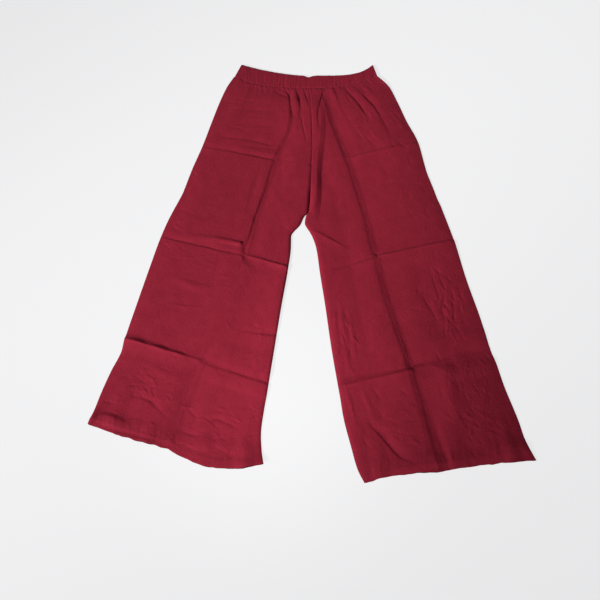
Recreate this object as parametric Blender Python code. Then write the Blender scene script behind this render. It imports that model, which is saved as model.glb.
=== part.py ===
"""Palazzo pants: wide-legged pull-on trousers of thin woven cloth, lying flat on their back.

Frame: metres, +Z up, the surface under the garment at Z = 0.  +Y runs from the hems to the
waist and +X across the legs.  The origin lies under the middle of the garment.  "Left" and
"right" are the sides seen from above, with the hems towards the viewer.

Pieces: two front legs, two back legs and one waistband, a casing gathered over elastic.  The
back legs lie flat.  The front legs lie on them, a seam gap higher, and carry the sharp creases
left by folding the garment into quarters, the gathers under the waistband and soft hem waves.
"""

import math
from collections import namedtuple

import bmesh
import bpy

CM = 0.01
MM = 0.001

# Cloth
WALL = 1.2 * MM
SEAM_GAP = 0.3 * MM
HEM_WALL = 2.0 * MM
HEM_DEPTH = 2.0 * CM
HEM_SLOPE = 0.3 * CM
PUFF = 3.8 * MM
SEAM_HOLD_END = 24.0 * CM
CROTCH = 34.0 * CM

# Waistband
BAND_WALL = 2.2 * MM
BAND_SLOT = 1.0 * MM
BAND_LEFT_TOP = -16.6 * CM
BAND_RIGHT_TOP = 16.4 * CM
BAND_TOP_LOW = 47.8 * CM
BAND_TOP_RISE = 3.6 * CM
BAND_LEFT_POWER = 1.7
BAND_RIGHT_POWER = 5.0
NOTCH_AT = 0.2 * CM
NOTCH_DEPTH = 0.5 * CM
NOTCH_WIDTH = 0.9 * CM
BAND_SHARES = (0.0, 0.12, 0.5, 0.88, 1.0)
BAND_CROWN = (-0.5 * MM, 0.0, 0.2 * MM, 0.0, -0.5 * MM)
FOLD_STEPS = 4

# Gathers: one rib of the waistband above each small gather of the legs
GATHERS_PER_LEG = 20
RIB_HEIGHT = 0.45 * MM
GATHER_HEIGHT = 0.9 * MM
GATHER_FADE = 4.5 * CM

# Rows and columns of points on a leg
ROW_STEP = 5.5 * CM
GATHER_ROW_STEP = 2.2 * CM
GATHER_ROWS_END = 13.0 * CM
FINE_COLUMNS_END = 4.1 * CM
MIDDLE_COLUMNS = 20
CREASE_FLANK = 1.3 * CM
LEG_COLUMNS = (-1.0, -0.94, -0.75, -0.5, -0.28, -0.09, 0.0, 0.09, 0.28, 0.5, 0.75, 0.94, 1.0)

# One row for each line across a leg, in centimetres.  down is the distance below the waistband
# along the centre crease.  A line runs from the outer edge to the centre crease and on to the
# inner edge, and bow is how far the middle of each half lies above the straight line.
Section = namedtuple(
    "Section",
    "down outer_x outer_y outer_bow crease_x crease_y inner_bow inner_x inner_y",
)

LEFT_SECTIONS = (
    Section(0.0, -18.2, 47.3, -0.85, -6.0, 43.9, 0.0, 0.2, 43.7),
    Section(4.0, -20.0, 43.9, -0.70, -4.4, 40.1, 0.0, 0.7, 39.8),
    Section(8.0, -21.4, 39.8, -0.45, -3.9, 36.0, 0.0, 0.9, 35.2),
    Section(13.0, -22.8, 34.6, -0.20, -4.3, 31.4, 0.0, 1.0, 30.2),
    Section(22.0, -24.9, 26.4, 0.0, -7.8, 22.5, 0.0, 0.8, 20.9),
    Section(28.5, -26.9, 19.8, 0.0, -9.6, 16.0, 0.0, 0.5, 14.0),
    Section(34.0, -28.25, 14.55, 0.0, -11.05, 10.4, 0.0, 0.0, 8.2),
    Section(35.0, -28.5, 13.6, 0.0, -11.3, 9.4, 0.0, -0.85, 7.3),
    Section(37.3, -29.3, 11.4, 0.0, -11.9, 7.1, 0.0, -1.9, 4.9),
    Section(39.3, -30.1, 9.4, 0.0, -12.3, 5.2, 0.0, -3.35, 3.1),
    Section(40.3, -30.45, 8.5, 0.0, -12.5, 4.3, 0.0, -3.85, 2.2),
    Section(43.0, -31.3, 6.2, 0.0, -13.0, 1.7, 0.0, -3.9, -0.8),
    Section(48.0, -32.6, 1.9, 0.0, -13.8, -3.0, 0.0, -4.5, -6.2),
    Section(56.5, -34.5, -6.2, 0.0, -16.5, -11.0, 0.0, -5.8, -14.7),
    Section(65.0, -36.4, -14.8, 0.0, -18.9, -19.3, 0.0, -7.0, -23.3),
    Section(73.5, -38.0, -22.4, 0.0, -21.6, -27.4, 0.0, -8.2, -32.0),
    Section(76.0, -38.4, -25.0, 0.0, -22.4, -29.8, -0.2, -8.5, -34.2),
    Section(79.5, -40.1, -29.5, 0.0, -23.5, -33.1, -0.5, -9.0, -37.4),
    Section(85.5, -41.8, -35.0, 0.0, -25.3, -38.9, -1.2, -9.5, -42.3),
    Section(89.5, -42.5, -37.9, -0.2, -26.4, -42.5, -1.9, -9.3, -45.4),
    Section(92.5, -43.3, -40.3, -0.3, -27.3, -45.1, -2.2, -8.9, -48.0),
)

RIGHT_SECTIONS = (
    Section(0.0, 17.4, 47.5, -0.85, 3.9, 43.8, 0.0, 0.2, 43.7),
    Section(4.0, 20.2, 44.1, -0.70, 4.4, 40.1, 0.0, 0.7, 39.8),
    Section(8.0, 21.9, 39.6, -0.45, 5.3, 36.0, 0.0, 0.9, 35.2),
    Section(13.0, 23.6, 34.2, -0.20, 6.6, 31.0, 0.0, 1.0, 30.2),
    Section(22.0, 26.1, 27.3, 0.0, 9.3, 22.9, 0.0, 0.8, 20.9),
    Section(28.5, 27.4, 19.2, 0.0, 11.0, 16.2, 0.0, 0.5, 14.0),
    Section(34.0, 28.5, 14.9, 0.0, 12.25, 10.9, 0.0, 0.0, 8.2),
    Section(35.0, 28.7, 14.1, 0.0, 12.5, 9.9, 0.0, -0.5, 7.3),
    Section(37.3, 29.2, 12.0, 0.0, 12.9, 7.9, 0.0, -0.8, 5.4),
    Section(39.3, 29.9, 9.8, 0.0, 13.3, 5.9, 0.0, 0.25, 3.2),
    Section(40.3, 30.2, 8.6, 0.0, 13.5, 4.7, 0.0, 0.8, 2.1),
    Section(43.0, 31.0, 5.4, 0.0, 14.0, 1.6, 0.0, 1.7, -1.0),
    Section(48.0, 32.1, 0.8, 0.0, 14.9, -3.2, 0.0, 2.45, -7.2),
    Section(56.5, 33.8, -8.6, 0.0, 16.5, -12.2, 0.0, 3.5, -15.2),
    Section(65.0, 35.8, -17.6, 0.0, 18.6, -20.9, 0.0, 4.5, -23.8),
    Section(73.5, 37.3, -25.5, 0.0, 20.5, -28.8, 0.0, 5.7, -32.2),
    Section(76.0, 38.0, -28.0, 0.0, 21.0, -31.5, 0.0, 6.1, -34.8),
    Section(79.5, 39.0, -32.6, 0.0, 21.8, -35.4, 0.0, 6.6, -38.6),
    Section(85.5, 40.9, -39.6, 0.0, 22.9, -42.0, 0.1, 8.0, -44.8),
    Section(89.5, 41.9, -44.2, 0.2, 23.7, -46.5, 0.4, 9.1, -49.1),
    Section(92.5, 43.3, -47.3, 0.3, 24.3, -49.6, 0.5, 10.3, -51.6),
)

FIRST_CREASE = 22.0
SECOND_CREASE = 48.0
THIRD_CREASE = 73.5
CROSS_CREASES = (FIRST_CREASE, SECOND_CREASE, THIRD_CREASE)
HEM = LEFT_SECTIONS[-1].down


def outer_half(sections, down):
    """The line of a crosswise crease from the outer edge to the centre crease."""
    row = next(row for row in sections if row.down == down)
    return ((row.outer_x, row.outer_y), (row.crease_x, row.crease_y))


def inner_half(sections, down):
    """The line of a crosswise crease from the centre crease to the inner edge."""
    row = next(row for row in sections if row.down == down)
    return ((row.crease_x, row.crease_y), (row.inner_x, row.inner_y))


def centre_line(sections, start, end):
    """The centre crease between two distances down the leg."""
    return tuple((row.crease_x, row.crease_y) for row in sections if start <= row.down <= end)


# One row for each fold: a ridge where its height is positive and a trough where it is
# negative.  half_width and the heights are in millimetres, and the path in centimetres.
# A crest of 1 is a sharp pressed line and one of 2 is rounded.
Fold = namedtuple("Fold", "crest half_width start_height end_height path")

LEFT_FOLDS = (
    # creases from packing
    Fold(1, 16, -2.0, -2.5, outer_half(LEFT_SECTIONS, FIRST_CREASE)),
    Fold(1, 20, 1.5, 1.0, inner_half(LEFT_SECTIONS, FIRST_CREASE)),
    Fold(1, 20, -3.0, -2.0, outer_half(LEFT_SECTIONS, SECOND_CREASE)),
    Fold(1, 30, 4.5, 5.5, inner_half(LEFT_SECTIONS, SECOND_CREASE)),
    Fold(1, 28, 7.5, 1.5, outer_half(LEFT_SECTIONS, THIRD_CREASE)),
    Fold(1, 24, -2.0, -4.0, inner_half(LEFT_SECTIONS, THIRD_CREASE)),
    Fold(1, 22, -2.0, -4.0, centre_line(LEFT_SECTIONS, 4.0, SECOND_CREASE)),
    Fold(1, 16, -0.8, -1.0, centre_line(LEFT_SECTIONS, SECOND_CREASE, THIRD_CREASE)),
    Fold(2, 100, 0.5, 4.0, centre_line(LEFT_SECTIONS, THIRD_CREASE, HEM)),
    Fold(1, 50, -1.0, -6.5, centre_line(LEFT_SECTIONS, THIRD_CREASE, HEM)),
    # the cloth pushed up where two creases cross
    Fold(2, 16, 2.0, 5.5, ((-22.5, 1.5), (-15.5, -0.6))),
    # gathers
    Fold(2, 8, 1.6, 0.5, ((-10.3, 43.8), (-8.6, 38.0))),
    Fold(2, 9, 3.2, 1.0, ((-7.6, 43.7), (-5.6, 39.5), (-5.0, 33.0), (-6.2, 29.0))),
    Fold(2, 8, 3.0, 0.8, ((-3.6, 43.6), (-2.6, 38.0), (-2.4, 31.0))),
    Fold(2, 7, 3.0, 0.5, ((-1.0, 43.6), (-0.9, 37.0), (-1.2, 27.0))),
    Fold(2, 9, 1.2, 0.4, ((-14.2, 45.0), (-15.2, 39.0))),
    # hem waves
    Fold(2, 24, 0.0, 4.0, ((-36.0, -31.0), (-38.5, -42.0))),
    Fold(2, 20, 0.5, 3.0, ((-28.5, -36.0), (-31.5, -43.8))),
    Fold(2, 26, 0.5, 5.0, ((-20.0, -36.0), (-21.0, -48.0))),
    Fold(2, 22, 0.0, 3.5, ((-13.5, -38.0), (-12.5, -48.3))),
)

RIGHT_FOLDS = (
    # creases from packing
    Fold(1, 20, 1.5, 1.0, outer_half(RIGHT_SECTIONS, FIRST_CREASE)),
    Fold(1, 24, 3.0, 4.0, outer_half(RIGHT_SECTIONS, SECOND_CREASE)),
    Fold(1, 20, -2.5, -2.0, inner_half(RIGHT_SECTIONS, SECOND_CREASE)),
    Fold(1, 36, 5.5, 2.0, outer_half(RIGHT_SECTIONS, THIRD_CREASE)),
    Fold(1, 24, -3.0, -4.5, inner_half(RIGHT_SECTIONS, THIRD_CREASE)),
    Fold(2, 75, 0.5, 4.5, centre_line(RIGHT_SECTIONS, 4.0, HEM)),
    Fold(1, 42, -2.8, -7.5, centre_line(RIGHT_SECTIONS, 4.0, HEM)),
    # the outer part below the third crease falls away to the side seam
    Fold(1, 85, 1.0, 5.5, ((27.4, -27.0), (27.7, -33.3), (28.4, -39.4))),
    # gathers
    Fold(2, 8, 3.0, 1.6, ((2.2, 43.6), (2.5, 38.0), (3.2, 30.0), (2.6, 12.0))),
    Fold(2, 8, 3.2, 1.6, ((5.4, 43.7), (6.6, 37.0), (8.6, 30.0), (11.0, 22.0))),
    Fold(2, 8, 2.8, 0.5, ((8.0, 43.7), (10.4, 39.0), (13.0, 35.0))),
    Fold(2, 9, 3.2, 0.8, ((10.6, 44.1), (13.4, 39.5), (16.2, 34.5), (18.0, 30.0))),
    Fold(2, 9, 1.4, 0.4, ((14.0, 45.2), (17.0, 40.0))),
    # the inseam's fold below the crotch, and a slack diagonal by the hem
    Fold(2, 13, 4.5, 0.5, ((1.8, 2.0), (5.5, 0.2), (9.0, -1.6))),
    Fold(2, 14, 3.0, 1.5, ((15.0, -41.0), (18.5, -44.4), (21.5, -47.5))),
    # hem waves
    Fold(2, 22, 0.0, 4.0, ((12.5, -41.0), (13.5, -51.0))),
    Fold(2, 24, 0.5, 3.5, ((28.0, -38.0), (30.0, -48.2))),
    Fold(2, 20, 0.0, 3.5, ((36.5, -38.0), (39.0, -47.6))),
)


def blend(a, b, share):
    return a + (b - a) * share


def section_at(sections, down):
    """The line across a leg at any distance down it, between two rows of its table."""
    below = next(i for i, row in enumerate(sections) if row.down >= down or i == len(sections) - 1)
    below = max(below, 1)
    first, second = sections[below - 1], sections[below]
    share = (down - first.down) / (second.down - first.down)
    return Section(*(blend(a, b, share) for a, b in zip(first, second)))


def plan_point(row, across):
    """X and Y in metres at across, from -1 at the outer edge through 0 to 1 at the inner."""
    share = abs(across)
    end_x, end_y, bow = row.inner_x, row.inner_y, row.inner_bow
    if across < 0:
        end_x, end_y, bow = row.outer_x, row.outer_y, row.outer_bow
    x = blend(row.crease_x, end_x, share)
    y = blend(row.crease_y, end_y, share) + 4 * bow * share * (1 - share)
    return x * CM, y * CM


def along_path(path, x, y):
    """Distance in metres from a point to a path, and how far along it the nearest point is."""
    lengths = [math.dist(a, b) * CM for a, b in zip(path, path[1:])]
    best, best_at, run = math.inf, 0.0, 0.0
    for (ax, ay), (bx, by), length in zip(path, path[1:], lengths):
        dx, dy = (bx - ax) * CM, (by - ay) * CM
        share = ((x - ax * CM) * dx + (y - ay * CM) * dy) / length**2
        share = min(max(share, 0.0), 1.0)
        distance = math.hypot(x - ax * CM - share * dx, y - ay * CM - share * dy)
        if distance < best:
            best, best_at = distance, run + share * length
        run += length
    return best, best_at / run


def fold_height(folds, x, y):
    """How far the folds lift or lower the cloth at a point."""
    total = 0.0
    for fold in folds:
        distance, share = along_path(fold.path, x, y)
        off = distance / (fold.half_width * MM)
        if off < 1:
            height = blend(fold.start_height, fold.end_height, share) * MM
            total += height * (1 - off**fold.crest) ** 2
    return total


def fade(distance, reach):
    """1 at a seam, falling smoothly to 0 at reach."""
    share = min(distance / reach, 1.0)
    return (1 - share) ** 2 * (1 + 2 * share)


def hem_share(down):
    """0 above the turned hem and 1 on it."""
    top = HEM * CM - HEM_DEPTH
    return min(max((down * CM - top) / HEM_SLOPE, 0.0), 1.0)


def cloth_wall(down):
    return blend(WALL, HEM_WALL, hem_share(down))


def row_stations(creased):
    """Distances down a leg, in centimetres, that have a row of points."""
    stations = {row.down for row in LEFT_SECTIONS}
    if creased:
        stations |= {crease + side * CREASE_FLANK / CM for crease in CROSS_CREASES for side in (-1, 1)}
    hem_top = HEM - HEM_DEPTH / CM
    stations |= {hem_top, hem_top + HEM_SLOPE / CM}
    stations = sorted(stations)
    rows = []
    for first, second in zip(stations, stations[1:]):
        step = GATHER_ROW_STEP if creased and second * CM <= GATHER_ROWS_END else ROW_STEP
        parts = math.ceil((second - first) * CM / step - 1e-6)
        rows += [blend(first, second, i / parts) for i in range(parts)]
    return rows + [HEM]


def even_columns(row, count):
    """Places across a leg that are evenly spaced, with one on the centre crease."""
    outer = abs(row.crease_x - row.outer_x)
    inner = abs(row.inner_x - row.crease_x)
    before = round(count * outer / (outer + inner))
    columns = [i / before - 1 for i in range(before)]
    return columns + [i / (count - before) for i in range(count - before + 1)]


def row_columns(row):
    """Places across a leg that have a point, closer together near the waistband."""
    if row.down * CM <= FINE_COLUMNS_END:
        return even_columns(row, 2 * GATHERS_PER_LEG)
    if row.down * CM <= GATHER_ROWS_END:
        return even_columns(row, MIDDLE_COLUMNS)
    return LEG_COLUMNS


def front_height(folds, x, y, across, down, column):
    """The height of a front leg's under side: over the back leg, puffed out and folded."""
    distance = down * CM
    hem = hem_share(down)
    base = cloth_wall(down) + SEAM_GAP
    to_band = BAND_WALL + BAND_SLOT - base
    held = fade(max(distance - SEAM_HOLD_END, 0.0), CROTCH - SEAM_HOLD_END) if across > 0 else 0.0
    puff = PUFF * (1 - across**4 * (1 - held)) * (1 - 0.4 * hem)
    body = puff + fold_height(folds, x, y)
    gather = GATHER_HEIGHT * fade(distance, GATHER_FADE) * (column % 2)
    return base + max(body, 0.0) * min(distance / CREASE_FLANK, 1.0) + gather + to_band * fade(
        distance, GATHER_FADE
    )


def back_height(*_place):
    """The under side of a back leg, flat on the surface."""
    return 0.0


def join_rows(sheet, upper, lower):
    """Triangles between two rows of (across, vertex) that may differ in number."""
    i = j = 0
    while i < len(upper) - 1 or j < len(lower) - 1:
        upper_next = upper[i + 1][0] if i < len(upper) - 1 else math.inf
        lower_next = lower[j + 1][0] if j < len(lower) - 1 else math.inf
        if upper_next < lower_next:
            sheet.faces.new((upper[i][1], lower[j][1], upper[i + 1][1]))
            i += 1
        else:
            sheet.faces.new((upper[i][1], lower[j][1], lower[j + 1][1]))
            j += 1


def cloth_material(name):
    material = bpy.data.materials.new(name + "_cloth")
    material.use_nodes = True
    shader = material.node_tree.nodes["Principled BSDF"]
    shader.inputs["Base Color"].default_value = (0.242, 0.0144, 0.0296, 1.0)
    shader.inputs["Roughness"].default_value = 0.85
    shader.inputs["Metallic"].default_value = 0.0
    return material


def finish_object(name, sheet):
    """Turn a closed bmesh into a named object with its own material."""
    bmesh.ops.recalc_face_normals(sheet, faces=sheet.faces)
    mesh = bpy.data.meshes.new(name)
    sheet.to_mesh(mesh)
    sheet.free()
    mesh.materials.append(cloth_material(name))
    piece = bpy.data.objects.new(name, mesh)
    bpy.context.scene.collection.objects.link(piece)
    return piece


def make_leg(name, sections, folds, height, creased):
    """One half of the front or back: rows of points down the leg, given a wall."""
    seam_side = SEAM_GAP / 2 if sections is RIGHT_SECTIONS else -SEAM_GAP / 2
    sheet = bmesh.new()
    wall_layer = sheet.verts.layers.float.new("wall")
    rows = []
    for down in row_stations(creased):
        row = section_at(sections, down)
        points = []
        for column, across in enumerate(row_columns(row)):
            x, y = plan_point(row, across)
            z = height(folds, x, y, across, down, column)
            vertex = sheet.verts.new((x + seam_side * max(across, 0.0), y, z))
            vertex[wall_layer] = cloth_wall(down)
            points.append((across, vertex))
        rows.append(points)
    for upper, lower in zip(rows, rows[1:]):
        join_rows(sheet, upper, lower)
    raised = bmesh.ops.extrude_face_region(sheet, geom=sheet.faces[:])
    for item in raised["geom"]:
        if isinstance(item, bmesh.types.BMVert):
            item.co.z += item[wall_layer]
    return finish_object(name, sheet)


def seam_y(x):
    """Where the legs' upper edge lies, at any place across the waist."""
    middle = LEFT_SECTIONS[0].inner_x * CM
    row = LEFT_SECTIONS[0] if x < middle else RIGHT_SECTIONS[0]
    crease = row.crease_x * CM
    toward_outer = (x < crease) if x < middle else (x > crease)
    end = row.outer_x if toward_outer else row.inner_x
    share = min(abs(x - crease) / abs(end * CM - crease), 1.0)
    return plan_point(row, -share if toward_outer else share)[1]


def band_top_y(x):
    """The waistband's upper edge: raised at both ends, with a notch at the centre seam."""
    middle = (BAND_LEFT_TOP + BAND_RIGHT_TOP) / 2
    half = (BAND_RIGHT_TOP - BAND_LEFT_TOP) / 2
    side = (x - middle) / half
    power = BAND_LEFT_POWER if side < 0 else BAND_RIGHT_POWER
    notch = NOTCH_DEPTH * math.exp(-(((x - NOTCH_AT) / NOTCH_WIDTH) ** 2))
    return BAND_TOP_LOW + BAND_TOP_RISE * min(abs(side), 1.0) ** power - notch


def band_columns():
    """Round the waistband: share across, sideways bulge, height and rib for each column."""
    radius = BAND_WALL + BAND_SLOT / 2
    count = 4 * GATHERS_PER_LEG
    front = [(i / count, 0.0, 1.0, i % 2) for i in range(count + 1)]
    back = [(i / count, 0.0, -1.0, 0) for i in range(count, -1, -1)]
    turns = [math.pi * i / FOLD_STEPS for i in range(1, FOLD_STEPS)]
    right = [(1.0, math.sin(turn), math.cos(turn), 0) for turn in turns]
    left = [(0.0, -math.sin(turn), -math.cos(turn), 0) for turn in turns]
    return radius, front + right + back + left


def make_waistband(name):
    """A flattened ring: the casing and its elastic, folded over at both sides."""
    sheet = bmesh.new()
    radius, columns = band_columns()
    first_x = LEFT_SECTIONS[0].outer_x * CM + radius
    last_x = RIGHT_SECTIONS[0].outer_x * CM - radius
    outside, inside = [], []
    for share, bulge, level, rib in columns:
        low_x = blend(first_x, last_x, share)
        high_x = blend(BAND_LEFT_TOP + radius, BAND_RIGHT_TOP - radius, share)
        rings = []
        for reach in (radius, BAND_SLOT / 2):
            bottom = (low_x + bulge * reach, seam_y(low_x + bulge * reach) + SEAM_GAP)
            top = (high_x + bulge * reach, band_top_y(high_x + bulge * reach))
            column = []
            for height, crown in zip(BAND_SHARES, BAND_CROWN):
                x, y = (blend(bottom[axis], top[axis], height) for axis in (0, 1))
                z = radius + level * reach
                if reach == radius and level == 1.0:
                    z += crown + RIB_HEIGHT * rib
                column.append(sheet.verts.new((x, y, z)))
            rings.append(column)
        outside.append(rings[0])
        inside.append(rings[1])
    for i in range(len(columns)):
        following = (i + 1) % len(columns)
        for ring in (outside, inside):
            for k in range(len(BAND_SHARES) - 1):
                a, b = ring[i], ring[following]
                sheet.faces.new((a[k], b[k], b[k + 1], a[k + 1]))
        for k in (0, -1):
            sheet.faces.new((outside[i][k], outside[following][k], inside[following][k], inside[i][k]))
    bmesh.ops.triangulate(sheet, faces=sheet.faces[:])
    return finish_object(name, sheet)


def main():
    for item in list(bpy.data.objects):
        bpy.data.objects.remove(item, do_unlink=True)
    make_leg("back_leg_left", LEFT_SECTIONS, (), back_height, False)
    make_leg("back_leg_right", RIGHT_SECTIONS, (), back_height, False)
    make_leg("front_leg_left", LEFT_SECTIONS, LEFT_FOLDS, front_height, True)
    make_leg("front_leg_right", RIGHT_SECTIONS, RIGHT_FOLDS, front_height, True)
    make_waistband("waistband")


main()
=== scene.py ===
"""The looks of the palazzo pants: thin dark-red rayon laid flat, gathered onto an elastic waistband.

Every cloth piece is a thin shell on the form of its solid.  The section tables hold the outline
of the legs, and the fold tables their creases, gathers and wrinkles.  Both are in centimetres
on the surface, seen from above with the hems towards the viewer.
"""

import math
from collections import namedtuple

import bpy
import numpy as np
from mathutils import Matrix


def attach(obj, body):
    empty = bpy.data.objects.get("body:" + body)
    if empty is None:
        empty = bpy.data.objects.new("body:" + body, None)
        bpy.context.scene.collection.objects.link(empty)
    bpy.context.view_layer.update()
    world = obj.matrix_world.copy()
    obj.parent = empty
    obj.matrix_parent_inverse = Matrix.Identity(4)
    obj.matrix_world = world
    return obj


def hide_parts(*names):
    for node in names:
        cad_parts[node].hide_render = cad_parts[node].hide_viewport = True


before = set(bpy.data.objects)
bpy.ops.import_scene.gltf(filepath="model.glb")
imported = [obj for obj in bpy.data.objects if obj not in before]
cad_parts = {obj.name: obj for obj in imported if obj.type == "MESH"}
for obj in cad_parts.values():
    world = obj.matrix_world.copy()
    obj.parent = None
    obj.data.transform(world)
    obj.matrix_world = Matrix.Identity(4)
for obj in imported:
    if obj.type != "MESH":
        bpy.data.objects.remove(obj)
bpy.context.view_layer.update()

CM = 0.01
MM = 0.001
MM_PER_CM = 10

# Cloth
BACK_SHELL = 0.8 * MM
FRONT_SHELL = 0.7 * MM
HEM_EXTRA = 0.3 * MM
LAYER_GAP = 0.08 * MM
FLOOR_GAP = 0.05 * MM
PUFF = 2.8 * MM

# Distances down a leg, in centimetres
BAND_EASE = 0.9
PUFF_START = 5.5
LEG_TOP_REACH = 7.5
FIRST_CREASE = 22.0
SEAM_HOLD_END = 24.0
CROTCH = 34.0
SECOND_CREASE = 48.0
THIRD_CREASE = 73.5
PUFF_END = 88.0
HEM = 92.5
HEM_DEPTH = 2.0
HEM_SLOPE = 0.5
WAVER_REACH = 3.0
STITCH_DROP = 0.15
PUCKERS_ABOVE = 2.6
PUCKERS_BELOW = 1.8

# Lengths on a leg, in centimetres
PUCKER_LENGTH = 0.55
UNEVEN_PATCH = 2.2

# Heights on a leg, in millimetres
SEAM_DIP = 0.35
LEAST_RISE = 0.4
HEM_PUCKER = 0.42
BACK_LIFT = 1.1
BACK_RIPPLE = 0.25

# Widths across a leg, as shares of the way from its centre crease to its edge
OUTER_EASE = 1 / 15
INNER_EASE = 0.8 / 9
SEAM_DIP_REACH = 0.25 / 9

# Shares and powers of a leg's form
FOLD_UNEVENNESS = 0.22
EDGE_BULGE = 0.35
OUTER_PUFF_POWER = 9
INNER_PUFF_POWER = 36
HEM_SETTLING = 0.4
BACK_PUCKERS = 0.8

# A back crease: its half width, its least height and the share of the front's height it adds
BACK_CREASE_WIDTH = 9
BACK_CREASE_LEAST = 0.25
BACK_CREASE_SHARE = 0.12

# Gathers: widths as above, drift for each centimetre down, lengths in centimetres and heights
# in millimetres
GATHER_COUNT = 30
GATHER_LENGTHS = (1.6, 2.5, 4.0, 6.5)
GATHER_WIDTHS = (0.012, 0.03)
GATHER_HEIGHTS = (0.25, 0.8)
GATHER_DRIFT = 0.004

# Crinkles: how they bend, in radians, and how they scatter and vary, as shares of their patch's
# own values
CRINKLE_TURN = 0.35
CRINKLE_SCATTER = 0.6
CRINKLE_LENGTHS = (0.25, 0.6)
CRINKLE_WIDTHS = (0.7, 1.6)
CRINKLE_HEIGHTS = (0.5, 1.4)

# Grid of each leg: even numbers, so that the hidden side has every second point
ROWS = 440
OUTER_COLUMNS = 92
INNER_COLUMNS = 76
PATH_PARTS = 6

# Waistband, as in its solid
BAND_WALL = 2.2 * MM
BAND_SLOT = 1.0 * MM
LEG_TOP_LEVEL = 4.7 * MM
BAND_LEFT_TOP = -16.6 * CM
BAND_RIGHT_TOP = 16.4 * CM
BAND_TOP_LOW = 47.8 * CM
BAND_TOP_RISE = 3.6 * CM
BAND_LEFT_POWER = 1.7
BAND_RIGHT_POWER = 5.0
NOTCH_AT = 0.2 * CM
NOTCH_DEPTH = 0.5 * CM
NOTCH_WIDTH = 0.9 * CM
BAND_SEAM_GAP = 0.1 * MM
BAND_EDGE_RISE = 0.7 * MM
BAND_EDGE_DROP = 0.05 * MM

# The waistband's relief: heights in millimetres, and the share of the ribs that its back keeps
BAND_CROWN = 0.2
BAND_TOP_FALL = 0.8
BAND_LOW_FALL = 0.35
RIB_HEIGHT = 0.30
WIDE_RIB_HEIGHT = 0.35
BAND_PUCKER = 0.35
JOIN_DEPTH = 0.7
BACK_RIB_SHARE = 0.25

# The waistband's relief: lengths in centimetres.  The join is the casing's own seam.
RIB_LENGTH = 0.33
WIDE_RIB_LENGTH = 1.1
BAND_PUCKER_LENGTH = 0.42
SCALLOP_LENGTH = 0.45
BAND_SCALLOP = 0.045
JOIN_AT = 6.35
JOIN_WIDTH = 0.09
BACK_WALL_SHIFT = 40

BAND_COLUMNS = 840
BAND_ROWS = 26
BAND_FOLD_STEPS = 8

# One row for each line across a leg, in centimetres.  down is the distance below the waistband
# along the centre crease.  A line runs from the outer edge to the centre crease and on to the
# inner edge, and a bow is how far the middle of that half lies above the straight line.
Section = namedtuple(
    "Section",
    "down outer_x outer_y crease_x crease_y inner_x inner_y outer_bow inner_bow",
    defaults=(0.0, 0.0),
)


def table(kind, *rows):
    """Rows of plain values made into rows of one kind, with named values."""
    return tuple(kind(*row) for row in rows)


LEFT_SECTIONS = table(
    Section,
    (0.0, -18.2, 47.3, -6.0, 43.9, 0.2, 43.7, -0.85),
    (4.0, -20.0, 43.9, -4.4, 40.1, 0.7, 39.8, -0.70),
    (8.0, -21.4, 39.8, -3.9, 36.0, 0.9, 35.2, -0.45),
    (13.0, -22.8, 34.6, -4.3, 31.4, 1.0, 30.2, -0.20),
    (FIRST_CREASE, -24.9, 26.4, -7.8, 22.5, 0.8, 20.9),
    (28.5, -26.9, 19.8, -9.6, 16.0, 0.5, 14.0),
    (CROTCH, -28.25, 14.55, -11.05, 10.4, 0.0, 8.2),
    (35.0, -28.5, 13.6, -11.3, 9.4, -0.85, 7.3),
    (37.3, -29.3, 11.4, -11.9, 7.1, -1.9, 4.9),
    (39.3, -30.1, 9.4, -12.3, 5.2, -3.35, 3.1),
    (40.3, -30.45, 8.5, -12.5, 4.3, -3.85, 2.2),
    (43.0, -31.3, 6.2, -13.0, 1.7, -3.9, -0.8),
    (SECOND_CREASE, -32.6, 1.9, -13.8, -3.0, -4.5, -6.2),
    (56.5, -34.5, -6.2, -16.5, -11.0, -5.8, -14.7),
    (65.0, -36.4, -14.8, -18.9, -19.3, -7.0, -23.3),
    (THIRD_CREASE, -38.0, -22.4, -21.6, -27.4, -8.2, -32.0),
    (76.0, -38.4, -25.0, -22.4, -29.8, -8.5, -34.2, 0.0, -0.2),
    (79.5, -40.1, -29.5, -23.5, -33.1, -9.0, -37.4, 0.0, -0.5),
    (85.5, -41.8, -35.0, -25.3, -38.9, -9.5, -42.3, 0.0, -1.2),
    (89.5, -42.5, -37.9, -26.4, -42.5, -9.3, -45.4, -0.2, -1.9),
    (HEM, -43.3, -40.3, -27.3, -45.1, -8.9, -48.0, -0.3, -2.2),
)

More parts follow.
